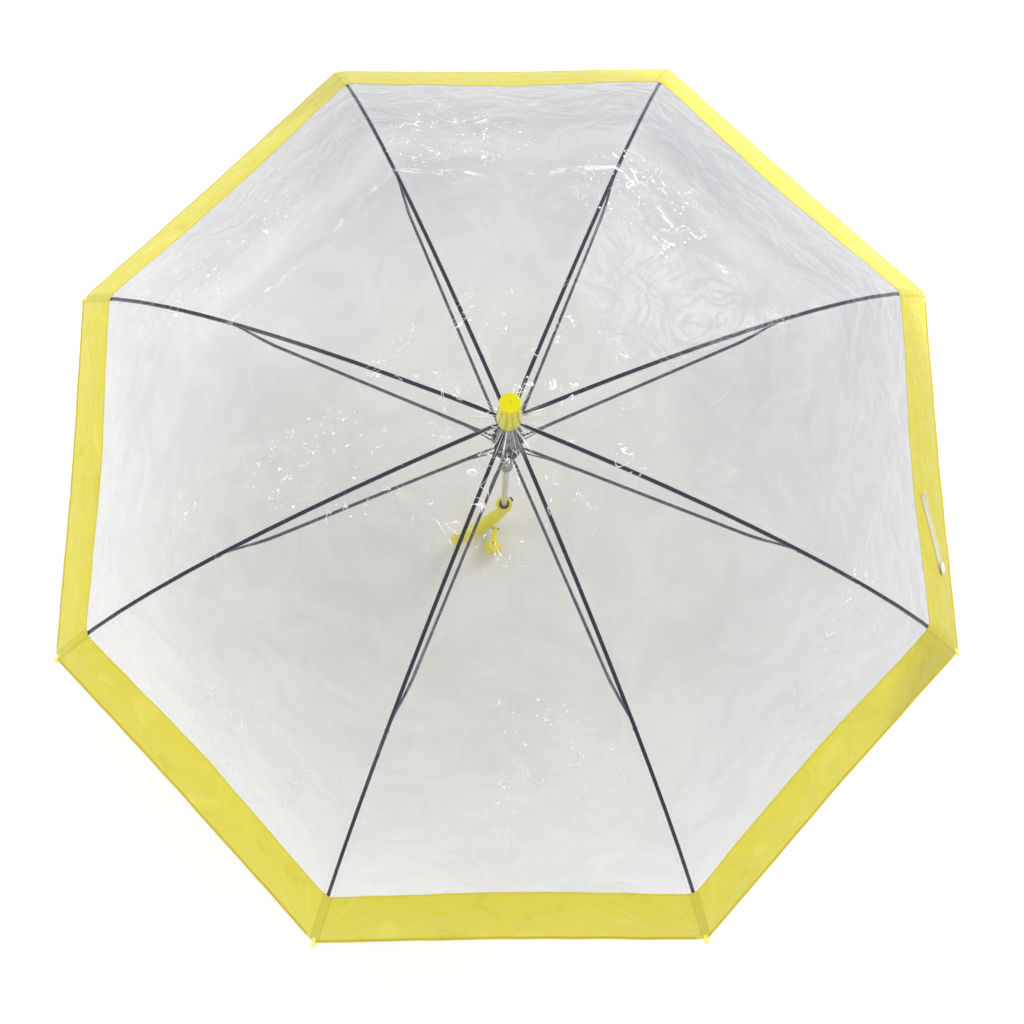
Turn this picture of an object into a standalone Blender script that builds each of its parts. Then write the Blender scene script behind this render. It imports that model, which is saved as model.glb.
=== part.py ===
"""A stick umbrella with a clear domed canopy: eight ribs, stretchers and links on a steel shaft, opened by a spring.

Metres, +Z up along the shaft, towards the ferrule. The origin is on the shaft's axis, in the middle of the grip.
The umbrella is fully open. Rib 1 points 22.5 degrees from +X towards +Y, and the others follow anticlockwise.
"""

import math

import bmesh
import bpy
from mathutils import Matrix, Vector

# Driving dimensions
RIBS = 8
TIP_RADIUS = 0.520  # from the shaft's axis to the end of a rib's tip
TIP_Z = 0.381  # height of the rib tips above the grip
DOME = (0.030, 0.390, 0.178)  # shares of the tip radius in the terms of the rib's curve
GAP = 0.0003  # between pieces that touch

SHAFT_R = 0.0040
SHAFT_WALL = 0.0006
SHAFT_BOTTOM = -0.006

# Ribs, with their wire in the top notch
RIB_WIDTH = 0.0031
RIB_HEIGHT = 0.0028
CHANNEL_WALL = 0.0006
NOTCH_PIVOT_R = 0.0070
RIB_STUB_R = 0.0011
RIB_STUB = 0.0080  # the round end of a rib, inside its tip cap
STUB_DROP = 0.00045  # the stub is this far under the rib's centre line
TIP_CAP = 0.0140
TONGUE = 0.0016  # thickness of the flat eye at a strut's inner end
EYE_HOLE_R = 0.00080
WIRE_R = 0.00045

# Canopy
FILM = 0.00025
FILM_OVER_RIB = 0.0019  # from a rib's centre line to the middle of the film
OVER_RIB = 0.0026  # half the width of the flat strip of film over a rib
FILM_HOLE_R = 0.0052
FILM_EDGE = 0.988  # where the hem ends on a rib, as a share of the tip radius
HEM_SAG = 0.014  # how far the hem's middle curves in, as a share of its radius

# Runner. Heights are from the stretchers' pivots.
CROWN_Z = TIP_Z + 0.427 * TIP_RADIUS
CROWN_PIVOT_X = 0.0120
CROWN_R = 0.0146
STRETCHER_SIDE = 0.0033  # a stretcher lies beside its rib
STRETCHER_WIDTH = 0.0027
JOINT_R = 0.515 * TIP_RADIUS  # where a stretcher meets its rib
SLEEVE_DROP = 0.052  # from the stretchers' pivots to the links'
SLEEVE_BOTTOM = TIP_Z + 0.044
SLEEVE_R = 0.0068
LINK_PIVOT_X = 0.0098
LINK_REACH = 0.066  # from a stretcher's pivot to its link's, along the stretcher
RUNNER_BORE_R = SHAFT_R + 0.00035

# Handle: a J hook that turns towards HOOK_ANGLE
COLLAR_TOP = 0.045
COLLAR_R = 0.0118
COLLAR_BORE_R = 0.00715
COLLAR_BORE = 0.022
HOOK_ANGLE = math.radians(-146.6)
HOOK_R = 0.0413
HOOK_START_Z = -0.020
HOOK_END_Z = 0.000
BUTTON_ANGLE = math.radians(37.0)
BUTTON_Z = 0.034
EYE_REACH = 0.0252  # from the shaft's axis to the whistle's eye, along the hook
EYE_ASIDE = 0.0150  # from the hook's middle plane to the eye
WHISTLE_ANGLE = math.radians(-98.5)

ANGLES = [math.radians(22.5 + 360.0 / RIBS * i) for i in range(RIBS)]
HALF_GORE = math.pi / RIBS


def clear_scene():
    for old in list(bpy.data.objects):
        bpy.data.objects.remove(old)


# ---------------------------------------------------------------- materials


def material(name, colour, roughness, metallic=0.0, alpha=1.0):
    made = bpy.data.materials.new(name)
    made.use_nodes = True
    shader = made.node_tree.nodes["Principled BSDF"]
    shader.inputs["Base Color"].default_value = (*colour, 1.0)
    shader.inputs["Roughness"].default_value = roughness
    shader.inputs["Metallic"].default_value = metallic
    shader.inputs["Alpha"].default_value = alpha
    return made


def dress(obj, made, smooth_angle=0.6):
    obj.data.materials.clear()
    obj.data.materials.append(made)
    obj.data.shade_smooth()
    obj.data.set_sharp_from_angle(angle=smooth_angle)
    return obj


# ---------------------------------------------------------------- mesh tools


def new_object(name, bm):
    """Finishes a bmesh as one object whose faces point out."""
    bmesh.ops.recalc_face_normals(bm, faces=bm.faces)
    mesh = bpy.data.meshes.new(name)
    bm.to_mesh(mesh)
    bm.free()
    obj = bpy.data.objects.new(name, mesh)
    bpy.context.scene.collection.objects.link(obj)
    return obj


def turned(name, profile, steps):
    """A closed profile of (radius, height) points, spun round Z."""
    bm = bmesh.new()
    points = [bm.verts.new((r, 0.0, z)) for r, z in profile]
    edges = [bm.edges.new((a, b)) for a, b in zip(points, points[1:] + points[:1])]
    bmesh.ops.spin(bm, geom=points + edges, axis=(0, 0, 1), angle=2 * math.pi, steps=steps)
    bmesh.ops.remove_doubles(bm, verts=bm.verts, dist=1e-6)
    on_axis = [e for e in bm.edges if not e.link_faces]
    bmesh.ops.delete(bm, geom=on_axis, context="EDGES")
    return new_object(name, bm)


def lofted(name, rings):
    """Rings of equal length joined in order, with a face over each end."""
    bm = bmesh.new()
    loops = [[bm.verts.new(p) for p in ring] for ring in rings]
    for low, high in zip(loops, loops[1:]):
        for i in range(len(low)):
            j = (i + 1) % len(low)
            bm.faces.new((low[i], low[j], high[j], high[i]))
    bm.faces.new(loops[0])
    bm.faces.new(loops[-1])
    return new_object(name, bm)


def shell(name, outer, inner):
    """A thin solid between two grids of points of the same size."""
    bm = bmesh.new()
    sides = [[[bm.verts.new(p) for p in row] for row in grid] for grid in (outer, inner)]
    rows, columns = len(outer), len(outer[0])
    for side in sides:
        for i in range(rows - 1):
            for j in range(columns - 1):
                bm.faces.new((side[i][j], side[i][j + 1], side[i + 1][j + 1], side[i + 1][j]))
    rim = [(i, 0) for i in range(rows)]
    rim += [(rows - 1, j) for j in range(1, columns)]
    rim += [(i, columns - 1) for i in range(rows - 2, -1, -1)]
    rim += [(0, j) for j in range(columns - 2, 0, -1)]
    for (a, b), (c, d) in zip(rim, rim[1:] + rim[:1]):
        bm.faces.new((sides[0][a][b], sides[0][c][d], sides[1][c][d], sides[1][a][b]))
    return new_object(name, bm)


def box(name, low, high):
    bm = bmesh.new()
    bmesh.ops.create_cube(bm, size=1.0)
    low, high = Vector(low), Vector(high)
    size = Matrix.Diagonal((*(high - low), 1.0))
    bmesh.ops.transform(bm, matrix=Matrix.Translation((low + high) / 2) @ size, verts=bm.verts)
    return new_object(name, bm)


def rod_along_y(name, x, z, radius, half_length, steps=10):
    """A round bar across a strut, for an eye or the hole in it."""
    bm = bmesh.new()
    turn = Matrix.Translation((x, 0, z)) @ Matrix.Rotation(math.pi / 2, 4, "X")
    bmesh.ops.create_cone(
        bm, cap_ends=True, segments=steps, radius1=radius, radius2=radius, depth=2 * half_length, matrix=turn
    )
    return new_object(name, bm)


def combine(obj, other, operation):
    """Applies an exact Boolean with another object, which is then removed."""
    step = obj.modifiers.new(operation.title(), "BOOLEAN")
    step.operation = operation
    step.solver = "EXACT"
    step.object = other
    bpy.context.view_layer.update()
    result = bpy.data.meshes.new_from_object(obj.evaluated_get(bpy.context.evaluated_depsgraph_get()))
    obj.modifiers.clear()
    obj.data = result
    bpy.data.objects.remove(other)
    return obj


def beside(angle, side):
    """The distance beside a rib with its sign: clockwise on the ribs with a positive X, the other way on the rest."""
    return -side if math.cos(angle) > 0 else side


def radial_slots(obj, side, width, x_from, x_to, z_from, z_to):
    """Cuts one slot for each rib, parallel to the rib and this far beside it."""
    for angle in ANGLES:
        y = beside(angle, side)
        cutter = box("slot", (x_from, y - width / 2, z_from), (x_to, y + width / 2, z_to))
        cutter.data.transform(Matrix.Rotation(angle, 4, "Z"))
        combine(obj, cutter, "DIFFERENCE")
    return obj


def pivot(name, angle, x, side, z):
    """An empty on a joint's axis. Its X points out along the rib, and the axis is its Y."""
    obj = bpy.data.objects.new(name, None)
    bpy.context.scene.collection.objects.link(obj)
    obj.location = Matrix.Rotation(angle, 3, "Z") @ Vector((x, side, z))
    obj.rotation_euler = (0, 0, angle)
    return obj


def copies(template, name, parents):
    """One object for each parent, all with the template's mesh."""
    for i, parent in enumerate(parents):
        obj = bpy.data.objects.new(f"{name}_{i + 1}", template.data)
        bpy.context.scene.collection.objects.link(obj)
        obj.parent = parent
    bpy.data.objects.remove(template)


# ---------------------------------------------------------------- the dome's curve


def dome_z(r):
    """Height of a rib's centre line at this distance from the shaft's axis."""
    share = r / TIP_RADIUS
    a, b, c = DOME
    rise = a * (1 - share) + b * (1 - share**2) + c * (1 - share**4)
    return TIP_Z + TIP_RADIUS * rise


def dome_slope(r):
    share = r / TIP_RADIUS
    a, b, c = DOME
    return -(a + 2 * b * share + 4 * c * share**3)


def rib_point(r, offset=0.0):
    """(distance from the axis, height) on the rib's curve, moved out along its normal by offset."""
    slope = dome_slope(r)
    length = math.hypot(1.0, slope)
    return r - offset * slope / length, dome_z(r) + offset / length


def radii(start, end, count):
    return [start + (end - start) * i / (count - 1) for i in range(count)]


NOTCH_Z = dome_z(NOTCH_PIVOT_R)
FILM_TOP_Z = dome_z(0.0) + FILM_OVER_RIB + FILM / 2


# ---------------------------------------------------------------- ribs, stretchers and links


def channel_section(width, height, wall):
    """(across, up) outline of a channel that is open below."""
    w, h = width / 2, height / 2
    inner = w - wall
    return [(-w, -h), (-w, h), (w, h), (w, -h), (inner, -h), (inner, h - wall), (-inner, h - wall), (-inner, -h)]


def swept(name, path, section):
    """A section moved along a path of (x, z) points in the strut's plane, square to the path."""
    rings = []
    for i, (x, z) in enumerate(path):
        before, after = path[max(i - 1, 0)], path[min(i + 1, len(path) - 1)]
        along = Vector((after[0] - before[0], 0, after[1] - before[1])).normalized()
        up = Vector((-along.z, 0, along.x))
        rings.append([Vector((x, across, z)) + up * rise for across, rise in section])
    return lofted(name, rings)


def add_eye(strut, end_x, end_z, reach, height):
    """A flat tongue from the pivot at the origin to the strut, with an eye round the pivot."""
    along = Vector((end_x, 0, end_z)).normalized()
    up = Vector((-along.z, 0, along.x)) * height / 2
    far = along * reach
    outline = [up, far + up, far - up, -up]
    half = Vector((0, TONGUE / 2, 0))
    rings = [[p - half for p in outline], [p + half for p in outline]]
    eye = lofted("eye", rings)
    combine(eye, rod_along_y("round", 0, 0, height / 2 * 1.001, TONGUE / 2), "UNION")
    combine(strut, eye, "UNION")
    return combine(strut, rod_along_y("hole", 0, 0, EYE_HOLE_R, TONGUE), "DIFFERENCE")


def rib_stations():
    """Distances from the shaft's axis of the points that a rib's channel runs through."""
    return radii(NOTCH_PIVOT_R + 0.006, TIP_RADIUS - TIP_CAP * 0.62, 13)


def make_ribs(black, parents):
    curve = [rib_point(r) for r in rib_stations()]
    path = [(x - NOTCH_PIVOT_R, z - NOTCH_Z) for x, z in curve]
    rib = swept("rib", path, channel_section(RIB_WIDTH, RIB_HEIGHT, CHANNEL_WALL))
    start = path[1]
    add_eye(rib, start[0], start[1], 0.010, RIB_HEIGHT * 0.98)
    end = Vector((path[-1][0], 0, path[-1][1]))
    along = (end - Vector((path[-2][0], 0, path[-2][1]))).normalized()
    drop = Vector((along.z, 0, -along.x)) * STUB_DROP
    root = CHANNEL_WALL * 2.4
    stations = ((-0.004, root), (-0.0003, root), (-0.0003, RIB_STUB_R), (RIB_STUB, RIB_STUB_R))
    rings = [circle_across(end + drop + along * reach, along, radius, 8) for reach, radius in stations]
    combine(rib, lofted("stub", rings), "UNION")
    copies(dress(rib, black), "rib", parents)
    return end + drop, along


def circle_across(middle, along, radius, steps):
    """Points round a path in a strut's plane."""
    up = Vector((-along.z, 0, along.x))
    side = Vector((0, 1, 0))
    turns = [2 * math.pi * (i + 0.5) / steps for i in range(steps)]
    return [middle + (up * math.sin(a) + side * math.cos(a)) * radius for a in turns]


def make_rib_tips(yellow, parents, end, along):
    """Round-ended caps over the ribs' stubs. Each is turned on the stub's axis."""
    bore = RIB_STUB_R + GAP
    deep = RIB_STUB + GAP
    profile = [
        (bore, GAP),
        (0.00195, GAP),
        (0.00195, 0.0058),
        (0.0023, 0.0072),
        (0.0025, TIP_CAP - 0.0036),
        (0.0021, TIP_CAP - 0.0014),
        (0.0012, TIP_CAP - 0.0003),
        (0.0, TIP_CAP),
        (0.0, deep),
        (bore, deep),
    ]
    tip = turned("rib_tip", profile, 10)
    turn = Vector((0, 0, 1)).rotation_difference(along).to_matrix().to_4x4()
    tip.data.transform(Matrix.Translation(end) @ turn)
    copies(dress(tip, yellow), "rib_tip", parents)


def stretcher_end():
    """The rib's joint, just under its centre line, seen from the stretcher's pivot."""
    x, z = rib_point(JOINT_R, -0.0020)
    return x - CROWN_PIVOT_X, z - CROWN_Z


def make_stretchers(steel, parents):
    x, z = stretcher_end()
    length = math.hypot(x, z)
    start, end = 0.008 / length, 1.0 + 0.003 / length
    path = [(x * s, z * s) for s in (start, end)]
    stretcher = swept("stretcher", path, channel_section(STRETCHER_WIDTH, RIB_HEIGHT, CHANNEL_WALL))
    add_eye(stretcher, x, z, 0.012, RIB_HEIGHT * 0.98)
    copies(dress(stretcher, steel), "stretcher", parents)


def link_end():
    """The link's far pivot on the stretcher, seen from the link's own pivot."""
    x, z = stretcher_end()
    length = math.hypot(x, z)
    out = CROWN_PIVOT_X - LINK_PIVOT_X
    return out + x / length * LINK_REACH, SLEEVE_DROP + z / length * LINK_REACH


def make_links(steel, parents):
    x, z = link_end()
    length = math.hypot(x, z)
    height, half = 0.0017, TONGUE / 2 * 0.9
    section = [(-half, -height / 2), (-half, height / 2), (half, height / 2), (half, -height / 2)]
    link = swept("link", [(x * s, z * s) for s in (0.001 / length, 1.0 - 0.001 / length)], section)
    for at in ((0, 0), (x, z)):
        combine(link, rod_along_y("eye", *at, 0.0016, half * 1.01), "UNION")
        combine(link, rod_along_y("hole", *at, EYE_HOLE_R, TONGUE), "DIFFERENCE")
    copies(dress(link, steel), "link", parents)


# ---------------------------------------------------------------- canopy


def gore_point(r, side, share, offset):
    """A point on the canopy beside a rib: side is -1 or 1, and share runs from the rib's edge to the gore's middle."""
    x, z = rib_point(r, offset)
    x *= 1.0 - HEM_SAG * (r / TIP_RADIUS) ** 3 * (1 - (1 - share) ** 2)
    beside_rib = Vector((x, min(OVER_RIB, 0.5 * x * math.sin(HALF_GORE)), z))
    middle = Vector((x * math.cos(HALF_GORE) ** 2, x * math.cos(HALF_GORE) * math.sin(HALF_GORE), z))
    point = beside_rib.lerp(middle, share)
    point.y *= side
    return point


def make_canopy(clear, parents):
    """One panel a rib, out to the middle of the gores on both sides, with a narrow gap to the next panel."""
    rows = [FILM_HOLE_R, *rib_stations(), FILM_EDGE * TIP_RADIUS]
    columns = [(-1, 1.0), (-1, 0.5), (-1, 0.0), (1, 0.0), (1, 0.5), (1, 1.0)]
    base = Vector((NOTCH_PIVOT_R, 0, NOTCH_Z))
    grids = []
    for offset in (FILM_OVER_RIB + FILM / 2, FILM_OVER_RIB - FILM / 2):
        grid = []
        for r in rows:
            row = []
            for side, share in columns:
                point = gore_point(r, side, share, offset)
                if share == 1.0:
                    point += Vector((math.sin(HALF_GORE), -side * math.cos(HALF_GORE), 0)) * GAP / 2
                row.append(point - base)
            grid.append(row)
        grids.append(grid)
    panel = shell("canopy", *grids)
    copies(dress(panel, clear), "canopy_panel", parents)


def make_strap(clear, white):
    """The closure strap, flat on the border between ribs 1 and 8, with its root ring and its snap."""
    parent = pivot("strap_root", ANGLES[-1], 0, 0, 0)
    lift = FILM_OVER_RIB + FILM / 2 + GAP + 0.0002
    thick = 0.0006
    start, end, width = 0.78, 0.36, 0.012

    def at(along, over, height):
        share = start + (end - start) * along
        r = (0.872 + 0.052 * along) * TIP_RADIUS + (over - 0.5) * width
        return gore_point(r, 1, share, lift + height)

    steps = radii(0.0, 1.0, 9)
    grids = [[[at(a, o, h) for o in (0.0, 1.0)] for a in steps] for h in (thick, 0.0)]
    strap = dress(shell("closure_strap", *grids), clear)
    strap.parent = parent
    for name, along, radius in (("strap_ring", 0.04, 0.0052), ("strap_snap", 0.93, 0.0060)):
        low = thick + 1.6 * GAP
        high = low + 0.0016
        hole = 0.0024 if name == "strap_ring" else 0.0010
        profile = [(hole, low), (radius, low), (radius, low + 0.0009), (radius * 0.8, high), (hole, high)]
        piece = turned(name, profile, 12)
        middle = at(along, 0.5, 0.0)
        lengthwise = at(along + 0.05, 0.5, 0.0) - at(along - 0.05, 0.5, 0.0)
        up = lengthwise.cross(at(along, 1.0, 0.0) - at(along, 0.0, 0.0)).normalized()
        up *= math.copysign(1.0, up.z)
        turn = Vector((0, 0, 1)).rotation_difference(up).to_matrix().to_4x4()
        piece.data.transform(Matrix.Translation(middle) @ turn)
        dress(piece, white if name == "strap_snap" else clear)
        piece.parent = parent


# ---------------------------------------------------------------- shaft, notch, washer and cap


CATCH_TOP = SLEEVE_BOTTOM - GAP
CATCH_HEIGHT = 0.013
CATCH_LENGTH = 0.030
CAP_BOTTOM = FILM_TOP_Z + 0.0014
CAP_TOP = TIP_Z + 0.728 * TIP_RADIUS
CAP_BORE = 0.040


def make_shaft(steel):
    inner = SHAFT_R - SHAFT_WALL
    top = CAP_BOTTOM + CAP_BORE - GAP
    profile = [(inner, SHAFT_BOTTOM), (SHAFT_R, SHAFT_BOTTOM), (SHAFT_R, top), (inner, top)]
    shaft = turned("shaft", profile, 16)
    slot = box("slot", (-0.0012, -0.008, CATCH_TOP - CATCH_HEIGHT - GAP), (0.0012, 0.0, CATCH_TOP + GAP))
    combine(shaft, slot, "DIFFERENCE")
    return dress(shaft, steel)


def make_open_catch(steel):
    """A sprung leaf inside the shaft. Its nose stands out under the sleeve, on the -Y side."""
    parent = pivot("catch_pivot", 0, 0, 0, CATCH_TOP - CATCH_LENGTH)
    thick = 0.0008
    outline = [
        (-0.0017, -0.0300),
        (-0.0017, -0.0008),
        (-0.0064, -0.0008),
        (-0.0068, -0.0016),
        (-0.0042, -0.0120),
        (-0.0029, -0.0126),
        (-0.0029, -0.0300),
    ]
    rings = [[Vector((side, y, z + CATCH_LENGTH)) for y, z in outline] for side in (-thick, thick)]
    leaf = dress(lofted("open_catch", rings), steel)
    leaf.parent = parent


def make_notch(plastic):
    low, high = -0.0042, 0.0012
    profile = [
        (SHAFT_R + GAP, high),
        (0.0092, high),
        (0.0094, high - 0.0008),
        (0.0094, low),
        (NOTCH_PIVOT_R + 0.00075, low),
        (NOTCH_PIVOT_R + 0.00075, 0.00075),
        (NOTCH_PIVOT_R - 0.00075, 0.00075),
        (NOTCH_PIVOT_R - 0.00075, low - 0.001),
        (0.0060, -0.0135),
        (SHAFT_R + GAP, -0.0140),
    ]
    notch = turned("top_notch", profile, 24)
    radial_slots(notch, 0, TONGUE + 2 * GAP, NOTCH_PIVOT_R - 0.0017, 0.012, low - 0.004, high + 0.001)
    notch.data.transform(Matrix.Translation((0, 0, NOTCH_Z)))
    return dress(notch, plastic)


def wire_ring(name, radius, z, steel):
    """The wire that a ring of eyes turns on."""
    turns = [2 * math.pi * i / 5 for i in range(5)]
    profile = [(radius + WIRE_R * math.cos(a), z + WIRE_R * math.sin(a)) for a in turns]
    return dress(turned(name, profile, 24), steel)


def make_washer(clear):
    low = FILM_TOP_Z + GAP
    profile = [(SHAFT_R + GAP, low), (0.0105, low), (0.0100, low + 0.0007), (SHAFT_R + GAP, low + 0.0008)]
    return dress(turned("film_washer", profile, 20), clear)


def make_cap(yellow):
    """A tapered cap with lengthwise flutes, a flat top with a dimple, and a blind bore for the shaft."""
    steps, flutes, depth = 36, 12, 0.00042
    height = CAP_TOP - CAP_BOTTOM

    def ring(radius, z, fluted):
        points = []
        for i in range(steps):
            a = 2 * math.pi * i / steps
            groove = depth * fluted * (0.5 - 0.5 * math.cos(flutes * a))
            points.append(Vector(((radius - groove) * math.cos(a), (radius - groove) * math.sin(a), z)))
        return points

    bore = SHAFT_R + GAP
    rings = [ring(bore, CAP_BOTTOM + CAP_BORE, 0), ring(bore, CAP_BOTTOM, 0), ring(0.0100, CAP_BOTTOM, 0)]
    for share, radius, fluted in (
        (0.02, 0.0104, 0.6),
        (0.30, 0.0102, 1.0),
        (0.65, 0.0093, 1.0),
        (0.94, 0.0086, 0.6),
        (0.975, 0.0084, 0.0),
    ):
        rings.append(ring(radius, CAP_BOTTOM + height * share, fluted))
    rings += [ring(0.0076, CAP_TOP, 0), ring(0.0018, CAP_TOP, 0), ring(0.0012, CAP_TOP - 0.0005, 0)]
    return dress(lofted("ferrule_cap", rings), yellow, 0.5)


# ---------------------------------------------------------------- runner


def make_crown(plastic):
    """The stretchers' ring. Its wire lies in a groove that is open at the top."""
    wire = math.hypot(CROWN_PIVOT_X, STRETCHER_SIDE)
    profile = [
        (RUNNER_BORE_R, 0.006),
        (0.0066, 0.006),
        (wire - 0.0008, 0.0040),
        (wire - 0.0008, -0.0008),
        (wire + 0.0008, -0.0008),
        (wire + 0.0008, 0.0034),
        (CROWN_R, 0.0026),
        (CROWN_R + 0.0003, -0.0040),
        (0.0096, -0.0058),
        (0.0080, -0.0088),
        (0.0066, -0.0088),
        (0.0066, -0.0050),
        (RUNNER_BORE_R, -0.0050),
    ]
    crown = turned("runner_crown", profile, 32)
    width = TONGUE + 2 * GAP
    radial_slots(crown, STRETCHER_SIDE, width, CROWN_PIVOT_X - 0.0019, 0.016, -0.0028, 0.008)
    # The links pass through these notches in the rim when the umbrella is closed.
    radial_slots(crown, 0, width, CROWN_PIVOT_X + 0.0009, 0.016, -0.008, 0.008)
    crown.data.transform(Matrix.Translation((0, 0, CROWN_Z)))
    return dress(crown, plastic)


def make_sleeve(plastic):
    """The lower runner: a cone and ring that the links hang on, and the long tube below."""
    spring_seat = SLEEVE_DROP + 0.012
    bottom = SLEEVE_BOTTOM - CROWN_Z
    low, high = LINK_PIVOT_X - 0.0008, LINK_PIVOT_X + 0.0008
    profile = [
        (0.0060, -0.0402),
        (0.0068, -0.0402),
        (low, -0.0438),
        (low, -SLEEVE_DROP - 0.0008),
        (high, -SLEEVE_DROP - 0.0008),
        (high, -0.0462),
        (0.0124, -0.0486),
        (0.0126, -SLEEVE_DROP - 0.0040),
        (0.0078, -SLEEVE_DROP - 0.0080),
        (SLEEVE_R, -SLEEVE_DROP - 0.0140),
        (SLEEVE_R, bottom + 0.0008),
        (SLEEVE_R - 0.0006, bottom),
        (RUNNER_BORE_R, bottom),
        (RUNNER_BORE_R, -spring_seat),
        (0.0060, -spring_seat),
    ]
    sleeve = turned("runner_sleeve", profile, 24)
    width = TONGUE * 0.9 + 2 * GAP
    radial_slots(sleeve, 0, width, LINK_PIVOT_X - 0.0020, 0.016, -SLEEVE_DROP - 0.010, -0.030)
    sleeve.data.transform(Matrix.Translation((0, 0, CROWN_Z)))
    return dress(sleeve, plastic)


def coil(name, radius, wire, turns, length, steel, steps=10, sides=4):
    """A round spring along +Z from the origin, closed at its ends."""
    count = turns * steps
    rise = (length - 2 * wire) / count
    rings = []
    for i in range(count + 1):
        a = 2 * math.pi * i / steps
        middle = Vector((radius * math.cos(a), radius * math.sin(a), wire + rise * i))
        out = Vector((math.cos(a), math.sin(a), 0))
        along = Vector((-math.sin(a), math.cos(a), rise * steps / (2 * math.pi * radius))).normalized()
        up = along.cross(out)
        corner = [2 * math.pi * k / sides for k in range(sides)]
        rings.append([middle + (out * math.cos(c) + up * math.sin(c)) * wire for c in corner])
    return dress(lofted(name, rings), steel, 1.2)


def make_opening_spring(steel):
    bottom = CROWN_Z - SLEEVE_DROP - 0.012 + GAP
    top = CROWN_Z - 0.0050 - GAP
    spring = coil("opening_spring", 0.0052, 0.00045, 10, top - bottom, steel)
    spring.location = (0, 0, bottom)


# ---------------------------------------------------------------- handle, button and whistle


def hook_path():
    """(reach along the hook, height, radius) down the outside of the handle, from the collar to the tip."""
    stations = [
        (0, COLLAR_TOP - 0.0006, COLLAR_R - 0.0012),
        (0, COLLAR_TOP - 0.0020, COLLAR_R - 0.0002),
        (0, COLLAR_TOP - 0.0060, COLLAR_R),
        (0, COLLAR_TOP - 0.0220, COLLAR_R - 0.0002),
        (0, COLLAR_TOP - 0.0290, 0.0106),
        (0, COLLAR_TOP - 0.0370, 0.0088),
        (0, COLLAR_TOP - 0.0460, 0.0080),
    ]
    turns = 16
    for i in range(turns + 1):
        a = math.pi * i / turns
        swell = 0.0080 + 0.0016 * math.sin(min(a, math.pi / 2)) - 0.0006 * max(0.0, a / math.pi - 0.5) * 2
        stations.append((HOOK_R * (1 - math.cos(a)), HOOK_START_Z - HOOK_R * math.sin(a), swell))
    end_r = 0.0090
    stations.append((2 * HOOK_R, HOOK_START_Z + 0.006, end_r))
    for i in range(1, 6):
        a = math.pi / 2 * i / 6
        height = HOOK_END_Z - end_r + end_r * math.sin(a)
        stations.append((2 * HOOK_R, height, end_r * math.cos(a)))
    return stations


def make_handle(yellow):
    steps = 16
    out = Vector((math.cos(HOOK_ANGLE), math.sin(HOOK_ANGLE), 0))
    side = Vector((-out.y, out.x, 0))

    def ring(reach, z, radius, heading):
        """A circle square to the path, whose heading is 0 straight down and pi straight up."""
        across = out * math.cos(heading) + Vector((0, 0, 1)) * math.sin(heading)
        middle = out * reach + Vector((0, 0, z))
        turns = [2 * math.pi * i / steps for i in range(steps)]
        return [middle + (across * math.cos(a) + side * math.sin(a)) * radius for a in turns]

    bore = SHAFT_R + GAP
    shelf = COLLAR_TOP - COLLAR_BORE
    inside = [(SHAFT_BOTTOM - GAP, bore), (shelf, bore), (shelf - 0.0001, COLLAR_BORE_R)]
    inside += [(COLLAR_TOP - 0.0006, COLLAR_BORE_R), (COLLAR_TOP, COLLAR_BORE_R + 0.0006)]
    rings = [ring(0, z, radius, 0) for z, radius in inside]
    rings.append(ring(0, COLLAR_TOP, COLLAR_R - 0.0026, 0))
    for reach, z, radius in hook_path():
        if z > HOOK_START_Z and reach < HOOK_R:
            heading = 0.0
        elif z >= HOOK_START_Z:
            heading = math.pi
        else:
            heading = math.atan2(HOOK_START_Z - z, HOOK_R - reach)
        rings.append(ring(reach, z, radius, heading))
    handle = lofted("handle", rings)
    pocket = box("pocket", (0.0082, -0.0038, BUTTON_Z - 0.0053), (0.020, 0.0038, BUTTON_Z + 0.0053))
    pocket.data.transform(Matrix.Rotation(BUTTON_ANGLE, 4, "Z"))
    combine(handle, pocket, "DIFFERENCE")
    return dress(handle, yellow)


def make_button(dark, steel):
    """A push button in the collar, with its spring behind it. It slides towards the shaft."""
    parent = pivot("button_guide", BUTTON_ANGLE, 0, 0, BUTTON_Z)
    half_width, half_height = 0.0035, 0.0050
    inner, outer = 0.0106, 0.0146

    def ring(x, shrink):
        w, h = half_width - shrink, half_height - shrink
        cut = 0.0012
        corners = [(-w, -h + cut), (-w, h - cut), (-w + cut, h), (w - cut, h)]
        corners += [(w, h - cut), (w, -h + cut), (w - cut, -h), (-w + cut, -h)]
        return [Vector((x, y, z)) for y, z in corners]

    rings = [ring(inner, 0), ring(outer - 0.0010, 0), ring(outer - 0.0002, 0.0006), ring(outer, 0.0016)]
    button = dress(lofted("push_button", rings), dark)
    button.parent = parent
    spring = coil("button_spring", 0.0018, 0.00022, 3, inner - 0.0082 - 2 * GAP, steel, 8)
    spring.rotation_euler = (0, math.pi / 2, 0)
    spring.location = (0.0082 + GAP, 0, 0)
    spring.parent = parent


def eye_place():
    """Where the whistle's pin is: at the side of the hook, beside the lower bend."""
    rise = math.sqrt(HOOK_R**2 - (HOOK_R - EYE_REACH) ** 2)
    return EYE_REACH, EYE_ASIDE, HOOK_START_Z - rise


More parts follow.
